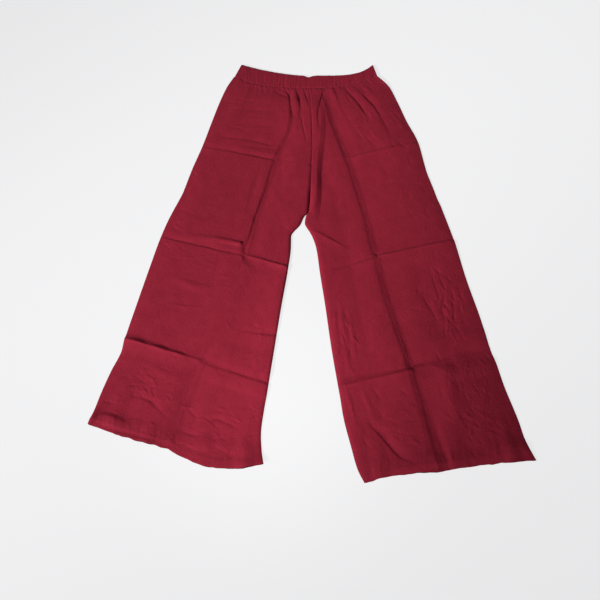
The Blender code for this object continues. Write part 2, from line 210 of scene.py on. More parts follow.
RIGHT_SECTIONS = table(
    Section,
    (0.0, 17.4, 47.5, 3.9, 43.8, 0.2, 43.7, -0.85),
    (4.0, 20.2, 44.1, 4.4, 40.1, 0.7, 39.8, -0.70),
    (8.0, 21.9, 39.6, 5.3, 36.0, 0.9, 35.2, -0.45),
    (13.0, 23.6, 34.2, 6.6, 31.0, 1.0, 30.2, -0.20),
    (FIRST_CREASE, 26.1, 27.3, 9.3, 22.9, 0.8, 20.9),
    (28.5, 27.4, 19.2, 11.0, 16.2, 0.5, 14.0),
    (CROTCH, 28.5, 14.9, 12.25, 10.9, 0.0, 8.2),
    (35.0, 28.7, 14.1, 12.5, 9.9, -0.5, 7.3),
    (37.3, 29.2, 12.0, 12.9, 7.9, -0.8, 5.4),
    (39.3, 29.9, 9.8, 13.3, 5.9, 0.25, 3.2),
    (40.3, 30.2, 8.6, 13.5, 4.7, 0.8, 2.1),
    (43.0, 31.0, 5.4, 14.0, 1.6, 1.7, -1.0),
    (SECOND_CREASE, 32.1, 0.8, 14.9, -3.2, 2.45, -7.2),
    (56.5, 33.8, -8.6, 16.5, -12.2, 3.5, -15.2),
    (65.0, 35.8, -17.6, 18.6, -20.9, 4.5, -23.8),
    (THIRD_CREASE, 37.3, -25.5, 20.5, -28.8, 5.7, -32.2),
    (76.0, 38.0, -28.0, 21.0, -31.5, 6.1, -34.8),
    (79.5, 39.0, -32.6, 21.8, -35.4, 6.6, -38.6),
    (85.5, 40.9, -39.6, 22.9, -42.0, 8.0, -44.8, 0.0, 0.1),
    (89.5, 41.9, -44.2, 23.7, -46.5, 9.1, -49.1, 0.2, 0.4),
    (HEM, 43.3, -47.3, 24.3, -49.6, 10.3, -51.6, 0.3, 0.5),
)


def outer_half(sections, down, rise=0.0):
    """A crosswise crease from the outer edge to the centre crease, moved up by the rise."""
    row = next(row for row in sections if row.down == down)
    return ((row.outer_x, row.outer_y + rise), (row.crease_x, row.crease_y + rise))


def inner_half(sections, down, rise=0.0):
    """A crosswise crease from the centre crease to the inner edge, moved up by the rise."""
    row = next(row for row in sections if row.down == down)
    return ((row.crease_x, row.crease_y + rise), (row.inner_x, row.inner_y + rise))


def centre_line(sections, start, end, shifts=(0.0, 0.0)):
    """The centre crease between two distances down the leg, moved sideways by the shifts."""
    rows = [row for row in sections if start <= row.down <= end]
    moved = np.interp([row.down for row in rows], np.linspace(start, end, len(shifts)), shifts)
    return tuple((row.crease_x + shift, row.crease_y) for row, shift in zip(rows, moved))


def inner_edge(sections, start, end, shift):
    """A line beside the inner edge between two distances down the leg."""
    rows = [row for row in sections if start <= row.down <= end]
    return tuple((row.inner_x + shift, row.inner_y) for row in rows)


RIGHT_CREASE_SHIFTS = (0.05, 0.0, -0.05, -0.1, -0.05, 0.05, 0.25, 0.6, 2.0)
RIGHT_CREASE = centre_line(RIGHT_SECTIONS, 4.0, HEM, RIGHT_CREASE_SHIFTS)

CENTRE_SEAM = ((0.4, 42.0), (0.8, 35.2), (1.0, 27.2), (0.7, 20.0), (0.5, 13.0), (0.1, 8.4))

BELLY = ((-15.0, 38.6), (-8.0, 37.4), (-2.0, 36.4), (3.0, 36.4), (8.0, 37.4), (13.0, 38.8))

# One row for each fold: a ridge where its height is positive and a trough where it is
# negative.  near and far are its half widths in millimetres on the side towards the viewer or
# the left and on the other side, and heights are in millimetres; each is one number, or numbers
# at places evenly spaced from its start to its end.  The path is in centimetres.  A crest has
# three powers: how flat its top is, and how fast its near side and its far side fall.
Fold = namedtuple("Fold", "crest near far heights path")
SHARP = (1, 2, 2)
ROUND = (2, 2, 2)
BROAD = (4, 2, 2)
PLEAT = (1, 1.15, 1.6)
VALLEY = (1, 1.4, 1.3)
BRIM = (1, 2, 1.2)
BRINK = (1, 1.2, 1.2)

# Both legs have these, so that their fronts match at the centre seam
MIDDLE_FOLDS = table(
    Fold,
    # the cloth's fullness below the waistband
    (ROUND, 110, 62, (0.8, 3.0, 5.0, 5.0, 3.0, 0.8), BELLY),
    # the trough along the centre seam
    (BROAD, 70, 90, (0.4, 1.6, 2.2, 1.4), CENTRE_SEAM),
    (SHARP, (5, 5, 6, 11), (14, 16, 12), (-0.6, -0.9, -1.0, -2.6), CENTRE_SEAM),
)

LEFT_PACKING = table(
    Fold,
    (SHARP, (5, 5, 6), 16, (-1.0, -2.0, -2.6), outer_half(LEFT_SECTIONS, FIRST_CREASE)),
    (SHARP, 5, 14, (-0.8, -0.4, -0.8), inner_half(LEFT_SECTIONS, FIRST_CREASE)),
    (SHARP, (5, 5, 6), (14, 16, 10), (-1.8, -2.2, -1.4), outer_half(LEFT_SECTIONS, SECOND_CREASE)),
    (SHARP, (24, 20), (6, 5), (2.0, 2.6, 2.4), inner_half(LEFT_SECTIONS, SECOND_CREASE, 0.3)),
    (SHARP, (36, 34, 30), (17, 14, 9, 6), (5.0, 4.6, 3.0, 0.6), outer_half(LEFT_SECTIONS, THIRD_CREASE)),
    (SHARP, 8, (20, 18, 18), (-1.8, -2.8, -3.2, -3.0), inner_half(LEFT_SECTIONS, THIRD_CREASE)),
    (BROAD, 40, 60, (0.2, 2.0, 2.2, 1.6), inner_half(LEFT_SECTIONS, THIRD_CREASE)),
    (PLEAT, (9, 9, 7, 8), (50, 50, 44, 40), (-2.6, -3.3, -3.6, -4.0),
     centre_line(LEFT_SECTIONS, 8.0, SECOND_CREASE, (0.2, 0.2, 0.6, 0.4, 0.3))),
    (SHARP, (8, 10), (14, 18), (-0.8, -0.5, -0.9), centre_line(LEFT_SECTIONS, SECOND_CREASE, THIRD_CREASE)),
    (BROAD, (90, 120), (110, 140), (0.0, 3.4, 2.2), centre_line(LEFT_SECTIONS, THIRD_CREASE, HEM)),
    (VALLEY, (44, 38, 32), (110, 140), (-1.6, -5.4, -4.2),
     centre_line(LEFT_SECTIONS, THIRD_CREASE, HEM, (0.3, 0.8))),
)

LEFT_FOLDS = table(
    Fold,
    # the cloth pushed up where two creases cross
    (ROUND, (14, 12, 9), (11, 9, 7), (0.2, 0.6, 1.6, 3.0),
     ((-30.0, 2.6), (-25.0, 1.8), (-20.0, 1.1), (-15.1, 0.0))),
    (SHARP, 15, 7, (-1.0, -3.6, -2.0), ((-13.2, 0.9), (-13.7, -0.9), (-14.1, -2.8))),
    # gathers
    (SHARP, 6, 6, (-0.9, -0.9, -0.3), ((-9.2, 44.2), (-9.2, 41.6))),
    (SHARP, (6, 7), 7, (-0.6, -1.2, -0.4), ((-7.6, 42.5), (-6.4, 41.7), (-4.8, 41.0))),
    (SHARP, (6, 7), (18, 22), (-1.0, -2.1, -2.3, -1.2),
     ((-5.8, 43.4), (-4.5, 41.5), (-4.2, 38.6), (-3.6, 35.2))),
    (SHARP, (7, 8), (18, 22), (-1.0, -2.3, -1.9, -0.5),
     ((-2.5, 43.2), (-2.1, 41.0), (-1.7, 37.4), (-2.1, 35.0))),
    (SHARP, 4, (6, 8), (-0.5, -1.0, -0.4), ((-1.6, 34.6), (-1.0, 30.8), (-0.4, 27.4))),
    (SHARP, 5, 13, (-1.0, -1.5, -0.5), ((-0.9, 43.2), (-0.3, 40.5), (0.4, 38.2))),
    (ROUND, (9, 12), (9, 12), (0.8, 0.8, 0.2), ((-3.6, 43.8), (-3.0, 39.0), (-2.6, 33.0))),
    (ROUND, (9, 12), (9, 12), (0.8, 0.5, 0.2), ((-14.2, 45.0), (-15.6, 40.0), (-16.8, 36.0))),
    # slack across the hip
    (SHARP, 6, (16, 14), (-0.4, -1.3, -0.6), ((-20.3, 29.0), (-13.6, 28.0), (-8.8, 26.6))),
    (SHARP, 5, 10, (-0.3, -0.8, -0.3), ((-14.2, 26.4), (-11.0, 25.8), (-7.8, 25.4))),
    (ROUND, 8, 12, (-0.2, -0.6, -0.2), ((-17.2, 32.8), (-12.0, 32.4), (-6.2, 31.6))),
    (ROUND, 7, 11, (-0.2, -0.5, -0.2), ((-16.8, 36.9), (-12.5, 36.9), (-8.0, 36.5))),
    # slack along the inseam, and a soft fold beside the centre crease
    (ROUND, (45, 70), (55, 50), (-0.4, -2.0, -3.2, -0.8),
     ((-8.6, 2.0), (-11.0, -10.0), (-13.6, -20.0), (-15.4, -29.0))),
    (BRIM, 50, 2, (0.4, 1.6, 1.8, 1.6, 1.0), inner_edge(LEFT_SECTIONS, 39.3, THIRD_CREASE, -0.12)),
    (ROUND, 8, 16, (-0.2, -0.9, -0.7, -0.1), ((-11.0, 19.6), (-11.9, 17.0), (-13.2, 10.6), (-13.8, 6.6))),
    # small wrinkles of the leg
    (SHARP, 14, 5, (0.2, 0.9, 0.2), ((-30.0, -14.3), (-26.2, -15.1), (-22.4, -15.3))),
    (SHARP, 6, (26, 30), (-0.5, -1.6, -1.8), ((-13.8, -20.6), (-10.2, -21.2), (-6.9, -21.6))),
    (SHARP, (6, 7), (15, 12), (-0.3, -1.6, -0.6),
     ((-35.2, -34.6), (-32.0, -35.5), (-30.1, -37.0), (-28.4, -38.8))),
    (SHARP, (12, 8), (14, 10), (-0.5, -1.9, -0.6),
     ((-21.0, -40.2), (-18.6, -39.3), (-16.6, -39.9), (-14.2, -41.0))),
    (SHARP, 6, (10, 8), (-0.4, -1.3, -0.3),
     ((-25.8, -41.4), (-22.2, -42.6), (-20.5, -42.2), (-19.2, -41.2))),
    (SHARP, (5, 6), (7, 8), (-0.3, -1.0, -0.3), ((-26.8, -43.9), (-24.3, -44.5), (-22.4, -45.3))),
    (SHARP, 6, 8, (-0.2, -0.9, -0.3), ((-19.2, -44.6), (-17.0, -45.6), (-15.0, -46.6))),
    (ROUND, 16, 12, (0.3, 1.0, 0.3), ((-29.5, -8.0), (-24.0, -10.5), (-19.0, -11.0))),
    (ROUND, 12, 18, (0.2, 0.8, 0.2), ((-36.0, -27.5), (-30.0, -29.6), (-25.0, -32.0))),
    # hem waves
    (ROUND, (22, 24), (22, 24), (0.0, 1.2, 1.8), ((-36.0, -31.0), (-37.5, -37.0), (-38.5, -42.0))),
    (ROUND, (8, 10), (14, 12), (3.6, 3.4, 0.6), ((-43.7, -40.8), (-42.6, -38.6), (-41.5, -36.0))),
    (ROUND, (22, 20), (9, 12), (2.6, 3.0, 0.8),
     ((-42.4, -39.4), (-40.4, -38.8), (-38.4, -39.4), (-35.4, -41.0))),
    (ROUND, (14, 16), (10, 14), (1.6, 2.2, 0.6), ((-37.6, -42.6), (-33.0, -43.8), (-28.0, -45.0))),
    (ROUND, 26, 26, (0.8, 2.6, 3.6), ((-19.0, -47.4), (-14.0, -48.6), (-9.0, -48.2))),
    (ROUND, 20, 20, (0.5, 1.4, 2.6), ((-28.5, -36.0), (-30.4, -40.0), (-31.5, -43.8))),
    (ROUND, (22, 26), (22, 26), (0.5, 1.6, 1.4), ((-20.0, -36.0), (-20.6, -42.0), (-21.0, -48.0))),
    (ROUND, (20, 22), (20, 22), (0.0, 1.6, 3.6), ((-13.5, -38.0), (-12.8, -43.0), (-12.5, -48.3))),
    # the hem, lifted a little by its stitching
    (ROUND, 13, 26, (0.8, 1.5, 1.5, 1.2), outer_half(LEFT_SECTIONS, HEM, 1.5)),
    (ROUND, 13, 26, (1.2, 1.4, 1.2, 0.5), inner_half(LEFT_SECTIONS, HEM, 1.5)),
)

RIGHT_PACKING = table(
    Fold,
    (SHARP, (22, 18), 7, (1.0, 1.6, 0.9), outer_half(RIGHT_SECTIONS, FIRST_CREASE)),
    (SHARP, 90, (7, 6), (2.4, 2.2, 3.0), outer_half(RIGHT_SECTIONS, SECOND_CREASE)),
    (SHARP, 7, (18, 16), (-2.6, -2.0, -0.8), inner_half(RIGHT_SECTIONS, SECOND_CREASE)),
    (BROAD, 50, 70, (1.8, 3.4, 3.6, 1.0, 0.2), outer_half(RIGHT_SECTIONS, THIRD_CREASE)),
    (BRINK, (18, 34, 42, 9, 7), (42, 50, 46, 34, 24), (-3.4, -5.8, -5.8, -2.8, -2.0),
     outer_half(RIGHT_SECTIONS, THIRD_CREASE, 0.5)),
    (BRIM, 80, (9, 12, 15, 20), (3.0, 3.6, 4.0, 4.6), inner_half(RIGHT_SECTIONS, THIRD_CREASE, -0.7)),
    (SHARP, 6, 10, (-1.8, -1.0, -0.4, -0.4), inner_half(RIGHT_SECTIONS, THIRD_CREASE)),
    (BROAD, (60, 60, 100), (70, 80, 100), (0.4, 2.0, 3.8), centre_line(RIGHT_SECTIONS, 4.0, HEM)),
    (PLEAT, (8, 9, 10, 11, 11, 12, 13, 15, 34), (50, 70, 90, 120),
     (-2.2, -2.2, -1.9, -2.0, -2.1, -2.5, -3.0, -3.5, -4.6),
     RIGHT_CREASE),
    (SHARP, (18, 20, 20), (60, 80, 100), (-0.9, -1.4, -1.4, -1.1, -0.8), RIGHT_CREASE),
)

RIGHT_FOLDS = table(
    Fold,
    # gathers
    (SHARP, (5, 6), (18, 16), (-0.8, -1.7, -1.5, -0.5),
     ((3.9, 43.2), (3.0, 38.9), (2.5, 36.6), (2.6, 31.8))),
    (ROUND, (9, 14), (9, 14), (1.0, 0.6, 0.2), ((5.8, 43.7), (7.2, 38.0), (10.0, 31.0), (12.0, 25.0))),
    (SHARP, 8, 24, (-0.8, -2.0, -1.8, -0.5), ((9.2, 43.4), (10.7, 41.4), (12.9, 37.9), (14.7, 34.2))),
    (SHARP, 8, (24, 20), (-0.9, -2.2, -1.9, -1.3, -0.5),
     ((11.8, 44.2), (13.6, 41.6), (16.0, 38.5), (17.1, 36.0), (18.1, 33.5), (19.0, 31.1), (19.4, 28.6))),
    (SHARP, (4, 5), 5, (-1.0, -0.8, -0.3), ((13.4, 43.4), (14.3, 42.6))),
    (SHARP, 5, 5, (-0.2, -0.9, -0.9), ((19.4, 27.8), (19.9, 26.6), (20.4, 25.8))),
    (SHARP, 5, 5, (-0.2, -0.8, -0.8), ((21.0, 28.2), (22.0, 26.8), (22.8, 26.0))),
    (SHARP, 5, 7, (-0.2, -0.7, -0.3), ((13.0, 30.2), (14.4, 28.0), (15.8, 26.2))),
    # a soft ridge outside the centre crease
    (ROUND, (45, 60, 65), (85, 95, 85), (0.5, 2.2, 2.6, 2.5, 2.4, 2.0, 0.4),
     ((9.5, 42.5), (12.5, 37.0), (15.5, 32.0), (18.4, 26.0), (21.2, 15.0), (23.6, 5.0), (25.0, -6.0))),
    # the trough beside the centre seam
    (PLEAT, (10, 14, 12, 11), (60, 70, 60), (-0.8, -2.4, -3.6, -4.8, -4.6, -0.6),
     ((3.9, 37.6), (4.3, 33.0), (4.0, 27.2), (3.3, 20.0), (3.1, 13.9), (2.6, 8.2), (2.0, 5.8))),
    # the inseam's fold below the crotch
    (SHARP, 24, (5, 4), (1.4, 2.0, 0.4), ((1.9, 2.9), (4.8, 1.1), (8.3, -1.1))),
    # small wrinkles of the leg
    (SHARP, 5, 5, (-0.3, -0.9, -0.3), ((12.2, 4.0), (12.9, 3.4))),
    (SHARP, 6, 9, (-0.3, -0.8, -0.3), ((9.1, -20.7), (12.0, -18.4), (14.9, -16.9))),
    (SHARP, 5, 8, (-0.3, -0.9, -0.3), ((21.4, -15.9), (22.8, -15.9), (24.2, -16.2))),
    (SHARP, 6, 9, (-0.4, -1.2, -0.9), ((23.1, -19.3), (26.5, -18.0), (28.5, -17.4))),
    (SHARP, 5, 6, (-0.3, -1.0, -0.4), ((24.2, -12.6), (25.0, -14.6), (25.9, -16.0))),
    (SHARP, (6, 5), 7, (-0.3, -1.2, -0.4), ((28.2, -13.6), (28.0, -16.0), (28.3, -18.8))),
    (SHARP, 6, 7, (-0.4, -1.1, -0.5), ((30.5, -13.8), (30.4, -18.9), (31.7, -22.8))),
    (SHARP, 5, 7, (-0.3, -0.9, -0.3), ((26.3, -6.1), (26.8, -9.7), (27.8, -13.5))),
    (SHARP, 5, 6, (-0.3, -0.9, -0.3), ((27.7, -6.6), (29.2, -11.9))),
    (ROUND, (7, 8), (7, 8), (0.3, 1.2, 0.4), ((6.4, -14.0), (7.3, -22.0), (8.0, -30.0))),
    (ROUND, (6, 7), (6, 7), (0.2, 1.0, 0.3), ((8.4, -17.0), (9.0, -22.0), (9.4, -27.0))),
    (ROUND, (6, 8), (6, 8), (0.4, 1.1, 0.3), ((7.4, -33.4), (8.2, -37.0), (9.0, -41.0))),
    (ROUND, 8, 8, (0.3, 0.9, 0.2), ((10.4, -33.0), (11.6, -36.5), (12.6, -39.4))),
    # the outer part below the third crease falls away to the side seam
    (BRIM, (40, 46), (110, 120), (1.2, 6.0, 4.6), ((27.4, -27.0), (27.7, -33.3), (28.4, -39.4))),
    (SHARP, 6, 5, (-0.8, -0.9, -0.2), ((27.8, -29.4), (27.7, -33.3), (28.4, -39.2))),
    # slack by the hem
    (SHARP, (5, 6), (24, 26), (-0.9, -2.9, -2.6, -0.9),
     ((11.8, -40.4), (14.0, -42.7), (15.8, -45.2), (17.4, -46.9), (19.0, -47.6))),
    (ROUND, 14, 14, (0.2, 0.6, 0.3), ((13.2, -40.0), (16.6, -43.6), (20.2, -46.6))),
    (SHARP, (5, 6), 7, (-0.4, -1.1, -0.3), ((13.8, -42.4), (15.9, -41.7), (18.3, -42.4), (20.8, -42.6))),
    (SHARP, 4, 6, (-0.3, -1.1, -0.3), ((10.3, -43.0), (10.9, -44.2), (11.6, -45.2))),
    (ROUND, 20, 22, (0.6, 2.2, 2.6), ((33.0, -45.0), (37.2, -45.2), (41.4, -44.6))),
    (ROUND, 100, 60, (-0.2, -1.6, -1.6, -0.6),
     ((14.6, -30.0), (15.8, -36.0), (17.0, -42.0), (17.8, -48.5))),
    # hem waves
    (ROUND, (20, 22), (20, 22), (0.0, 1.6, 3.6), ((12.5, -41.0), (13.0, -46.0), (13.5, -51.0))),
    (ROUND, (16, 18), (32, 36), (0.4, 2.4, 3.8), ((25.6, -38.5), (26.6, -43.0), (27.6, -48.2))),
    (ROUND, (18, 20), (18, 20), (0.0, 1.4, 3.2), ((36.5, -38.0), (38.0, -43.0), (39.0, -47.6))),
    # the hem, lifted a little by its stitching
    (ROUND, 14, 34, (1.8, 2.8, 2.4, 0.6), inner_half(RIGHT_SECTIONS, HEM, 1.6)),
    (ROUND, 14, 24, (1.4, 2.0, 2.0, 1.8), outer_half(RIGHT_SECTIONS, HEM, 1.6)),
)

# Small creases scattered over a part of a leg, in centimetres, degrees and millimetres
Crinkle = namedtuple("Crinkle", "x y reach_x reach_y count angle spread length width height")

LEFT_CRINKLES = table(
    Crinkle,
    (-30.0, 8.0, 4.0, 12.0, 30, -15, 30, 3.0, 4.5, 0.60),
    (-16.0, 34.0, 6.0, 8.0, 18, -4, 14, 5.0, 5.1, 0.64),
    (-33.0, -34.0, 5.5, 5.0, 46, -25, 45, 2.8, 4.2, 0.90),
    (-18.0, -40.5, 8.0, 4.5, 44, -10, 45, 2.6, 4.2, 0.95),
    (-24.0, -8.0, 8.0, 10.0, 16, -10, 40, 3.5, 6.0, 0.48),
    (-11.0, -28.0, 4.0, 10.0, 30, -20, 60, 2.4, 4.4, 0.60),
)

RIGHT_CRINKLES = table(
    Crinkle,
    (29.0, -14.5, 3.6, 8.0, 40, -78, 30, 3.0, 4.2, 0.96),
    (32.0, -34.0, 5.0, 8.0, 40, -70, 40, 3.0, 4.6, 0.80),
    (8.0, -24.0, 2.5, 12.0, 22, -80, 16, 4.5, 5.1, 0.72),
    (22.5, 10.0, 5.0, 16.0, 22, -60, 60, 3.0, 5.1, 0.48),
    (15.5, 36.0, 5.0, 6.0, 20, -58, 14, 4.0, 5.6, 0.70),
    (16.0, -40.0, 7.0, 6.0, 20, -40, 50, 3.5, 5.1, 0.72),
    (34.0, -41.0, 5.0, 3.5, 30, -60, 50, 2.4, 4.4, 0.88),
)

Leg = namedtuple("Leg", "side sections packing folds crinkles seed")
LEFT = Leg("left", LEFT_SECTIONS, LEFT_PACKING, MIDDLE_FOLDS + LEFT_FOLDS, LEFT_CRINKLES, 3)
RIGHT = Leg("right", RIGHT_SECTIONS, RIGHT_PACKING, MIDDLE_FOLDS + RIGHT_FOLDS, RIGHT_CRINKLES, 8)


# ---- helpers on arrays


def blend(a, b, share):
    """A value a share of the way from a to b."""
    return a + (b - a) * share


def smooth(share):
    """An even ease from 0 to 1."""
    share = np.clip(share, 0.0, 1.0)
    return share * share * (3 - 2 * share)


def fade(distance, reach):
    """1 at a seam, falling smoothly to 0 at reach."""
    return 1 - smooth(distance / reach)


def lattice(i, j, seed):
    """Repeatable random values from -1 to 1 at whole-numbered places."""
    value = np.sin(i * 12.9898 + j * 78.233 + seed * 37.719) * 43758.5453
    return 2 * (value - np.floor(value)) - 1


def noise(x, y, seed):
    """Smooth noise from -1 to 1, with one swell to each unit of x and of y."""
    i, j = np.floor(x), np.floor(y)
    u, v = smooth(x - i), smooth(y - j)
    low = blend(lattice(i, j, seed), lattice(i + 1, j, seed), u)
    high = blend(lattice(i, j + 1, seed), lattice(i + 1, j + 1, seed), u)
    return blend(low, high, v)


# Smooth random swells: their height in millimetres, their lengths in centimetres and their seed
Swells = namedtuple("Swells", "height length_x length_y seed")
FRONT_SWELLS = (
    Swells(0.55, 4.2, 6.0, 40),
    Swells(0.18, 1.5, 2.4, 41),
    Swells(0.05, 0.55, 0.8, 42),
)

# In centimetres: how a fold strays from its path, and how the hem's line wavers
PATH_WANDER = Swells(0.07, 1.7, 1.7, 0)
HEM_WAVER = Swells(0.12, 1.3, 1.0, 0)
FINE_HEM_WAVER = Swells(0.05, 0.6, 1.0, 0)


def swells(kind, x, y, seed):
    """The height of one kind of swells at each point."""
    return kind.height * noise(x / kind.length_x, y / kind.length_y, seed + kind.seed)


def monotone(stations, values, at):
    """A smooth curve through a table's values that never overshoots them."""
    stations, values = np.asarray(stations), np.asarray(values)
    steps = np.diff(stations)
    slopes = np.diff(values) / steps
    tangents = np.zeros(len(values))
    same_way = slopes[:-1] * slopes[1:] > 0
    before, after = 2 * steps[1:] + steps[:-1], steps[1:] + 2 * steps[:-1]
    safe = np.where(same_way, slopes[:-1] * slopes[1:], 1.0)
    mean = (before + after) * safe / (before * slopes[1:] + after * slopes[:-1] + (~same_way))
    tangents[1:-1] = np.where(same_way, mean, 0.0)
    tangents[0], tangents[-1] = slopes[0], slopes[-1]
    place = np.clip(np.searchsorted(stations, at) - 1, 0, len(steps) - 1)
    step = steps[place]
    t = (at - stations[place]) / step
    return (
        values[place] * (1 + 2 * t) * (1 - t) ** 2
        + values[place + 1] * t**2 * (3 - 2 * t)
        + step * tangents[place] * t * (1 - t) ** 2
        - step * tangents[place + 1] * t**2 * (1 - t)
    )


def smooth_path(points):
    """A path's own points joined by a smooth curve, in centimetres."""
    points = np.array(points, float)
    if len(points) == 2:
        return points
    ends = np.vstack((2 * points[0] - points[1], points, 2 * points[-1] - points[-2]))
    curve = []
    for a, b, c, d in zip(ends, ends[1:], ends[2:], ends[3:]):
        for t in np.arange(PATH_PARTS) / PATH_PARTS:
            bend = 2 * a - 5 * b + 4 * c - d + t * (3 * (b - c) + d - a)
            curve.append(b + 0.5 * t * (c - a + t * bend))
    return np.array(curve + [points[-1]])


# The direction that parts a path's near side from its far side
SIDE_X, SIDE_Y = 0.6, 0.8


def from_path(path, x, y):
    """Distance to a path in millimetres, share along it, and share of its far side.

    The last is 0 beside its near side, 1 beside its far side and between these round its ends.
    """
    best = np.full(x.shape, np.inf)
    share, far = np.zeros(x.shape), np.zeros(x.shape)
    lengths = np.hypot(*(path[1:] - path[:-1]).T)
    run = 0.0
    for (ax, ay), (bx, by), length in zip(path[:-1], path[1:], lengths):
        dx, dy = bx - ax, by - ay
        t = np.clip(((x - ax) * dx + (y - ay) * dy) / length**2, 0.0, 1.0)
        off_x, off_y = x - ax - t * dx, y - ay - t * dy
        distance = np.hypot(off_x, off_y) + 1e-9
        turn = math.copysign(1 / length, dx * SIDE_Y - dy * SIDE_X)
        lean = (off_y * dx - off_x * dy) * turn / distance
        closer = distance < best
        best = np.where(closer, distance, best)
        share = np.where(closer, (run + t * length) / lengths.sum(), share)
        far = np.where(closer, (1 + lean) / 2, far)
        run += length
    return best * MM_PER_CM, share, far


def along(values, share):
    """The value at a share of a path, from one number or numbers spaced evenly along it."""
    values = np.atleast_1d(values)
    return np.interp(share, np.linspace(0, 1, len(values)), values)


def add_fold(total, fold, x, y):
    """Adds one fold's height, in millimetres, to the points that it reaches."""
    path = smooth_path(fold.path)
    reach = max(np.max(fold.near), np.max(fold.far)) / MM_PER_CM
    low, high = path.min(0) - reach, path.max(0) + reach
    inside = (x > low[0]) & (x < high[0]) & (y > low[1]) & (y < high[1])
    if not inside.any():
        return
    px, py = x[inside], y[inside]
    distance, share, far = from_path(path, px, py)
    patch = max(UNEVEN_PATCH, 0.6 * reach)
    uneven = 1 + FOLD_UNEVENNESS * noise(px / patch, py / patch, path[0].sum())
    off = distance / blend(along(fold.near, share), along(fold.far, share), far)
    power, near_fall, far_fall = fold.crest
    fall = blend(near_fall, far_fall, far)
    total[inside] += along(fold.heights, share) * uneven * np.clip(1 - off**power, 0.0, 1.0) ** fall


def crinkle_folds(crinkles, seed):
    """Short creases at random over each patch, the same in each run."""
    draw = np.random.default_rng(seed)
    for patch in crinkles:
        for _ in range(patch.count):
            x = patch.x + patch.reach_x * draw.normal() * CRINKLE_SCATTER
            y = patch.y + patch.reach_y * draw.normal() * CRINKLE_SCATTER
            angle = math.radians(patch.angle + patch.spread * draw.normal() * CRINKLE_SCATTER)
            turn = angle + draw.uniform(-CRINKLE_TURN, CRINKLE_TURN)
            half = patch.length * draw.uniform(*CRINKLE_LENGTHS)
            path = (
                (x - half * math.cos(angle), y - half * math.sin(angle)),
                (x, y),
                (x + half * math.cos(turn), y + half * math.sin(turn)),
            )
            near, far = (patch.width * draw.uniform(*CRINKLE_WIDTHS) for _ in range(2))
            height = patch.height * draw.uniform(*CRINKLE_HEIGHTS) * draw.choice((-1, 1))
            yield Fold(SHARP, near, far, (0.1 * height, height, 0.1 * height), path)


# ---- legs


def leg_columns():
    """Places across a leg: -1 at the outer edge, 0 on the centre crease, 1 at the inner edge."""
    outer = np.arange(OUTER_COLUMNS) / OUTER_COLUMNS - 1
    inner = np.arange(INNER_COLUMNS + 1) / INNER_COLUMNS
    return np.concatenate((outer, inner))


def leg_rows():
    """Distances down a leg, with a row on each crosswise crease."""
    stops = (0.0, FIRST_CREASE, SECOND_CREASE, THIRD_CREASE, HEM)
    counts = [2 * round(ROWS * (b - a) / HEM / 2) for a, b in zip(stops, stops[1:])]
    counts[-1] += ROWS - sum(counts)
    parts = [np.linspace(a, b, n, endpoint=False) for a, b, n in zip(stops, stops[1:], counts)]
    return np.concatenate(parts + [[HEM]])


def leg_plan(leg):
    """X and Y in centimetres of a leg's whole grid, with its rows and columns."""
    down, across = leg_rows()[:, None], leg_columns()[None, :]
    stations = [section.down for section in leg.sections]
    line = {}
    for name in Section._fields[1:]:
        line[name] = monotone(stations, [getattr(section, name) for section in leg.sections], down)
    share = np.abs(across)
    outer = across < 0
    end_x = np.where(outer, line["outer_x"], line["inner_x"])
    end_y = np.where(outer, line["outer_y"], line["inner_y"])
    bow = np.where(outer, line["outer_bow"], line["inner_bow"])
    x = blend(line["crease_x"], end_x, share)
    y = blend(line["crease_y"], end_y, share) + 4 * bow * share * (1 - share)
    waver = swells(HEM_WAVER, x, 0 * x, leg.seed) + swells(FINE_HEM_WAVER, x, 0 * x, 5)
    y += smooth((down - (HEM - WAVER_REACH)) / WAVER_REACH) * waver
    return x, y, across + 0 * x, down + 0 * x


def hem_share(down):
    """0 above the turned hem and 1 on it."""
    return smooth((down - (HEM - HEM_DEPTH)) / HEM_SLOPE)


def edge_fade(across):
    """0 at the side seam and the inseam, 1 a short way in."""
    return smooth((1 + across) / OUTER_EASE) * smooth((1 - across) / INNER_EASE)


def gathers(across, down, seed):
    """Uneven small gathers that fan out from the waistband, in millimetres."""
    draw = np.random.default_rng(seed)
    total = np.zeros(across.shape)
    for i in range(GATHER_COUNT):
        centre = -1 + 2 * (i + draw.uniform(0.1, 0.9)) / GATHER_COUNT
        width = draw.uniform(*GATHER_WIDTHS)
        length = draw.choice(GATHER_LENGTHS) * draw.uniform(0.7, 1.3)
        height = draw.uniform(*GATHER_HEIGHTS)
        drift = draw.uniform(-GATHER_DRIFT, GATHER_DRIFT)
        reached = down < length
        off = (across[reached] - centre - drift * down[reached]) / width
        total[reached] += height * np.exp(-(off**2)) * fade(down[reached], length)
    return total


def hem_puckers(x, down, seed):
    """Small upright puckers at the hem's stitching, in millimetres."""
    line = HEM - HEM_DEPTH
    above = fade(np.abs(down - line), np.where(down < line, PUCKERS_ABOVE, PUCKERS_BELOW))
    run = x / PUCKER_LENGTH + 0.4 * noise(x / 3, down / 2, seed)
    strength = 0.35 + 0.65 * (0.5 + 0.5 * noise(x / 4.5, 0 * x, seed + 1))
    return HEM_PUCKER * above * strength * noise(run, down / 5, seed + 2)


